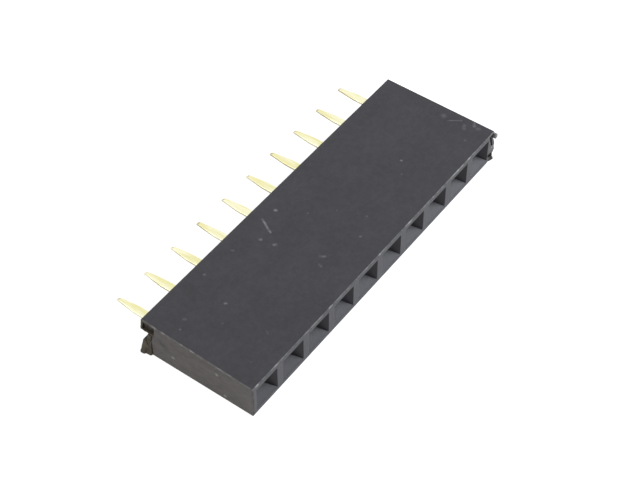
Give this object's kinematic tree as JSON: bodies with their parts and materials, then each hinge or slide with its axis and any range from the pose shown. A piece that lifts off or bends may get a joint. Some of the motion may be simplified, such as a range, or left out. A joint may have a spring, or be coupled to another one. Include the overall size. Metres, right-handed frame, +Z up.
{
  "type": "female pin header strip",
  "caption": "Black moulded strip of square funnel-mouthed sockets in one straight row, with flat gilt solder tails on the back for joining pins to a circuit board.",
  "frame": {"origin": "on the side face that the strip lies on, under the middle of the row of sockets and half way through the housing's depth", "axes": "+X along the row, +Y from the mating face to the solder tails, +Z up from the side face it lies on"},
  "size_m": [0.0265, 0.0115, 0.0025],
  "materials": {
    "housing_plastic": "matte moulded",
    "contact_gilt": "thin gilt flash"
  },
  "bodies": {
    "root": {"housing": "housing_plastic", "contact_01": "contact_gilt", "contact_02": "contact_gilt", "contact_03": "contact_gilt", "contact_04": "contact_gilt", "contact_05": "contact_gilt", "contact_06": "contact_gilt", "contact_07": "contact_gilt", "contact_08": "contact_gilt", "contact_09": "contact_gilt", "contact_10": "contact_gilt"}
  },
  "joints": []
}
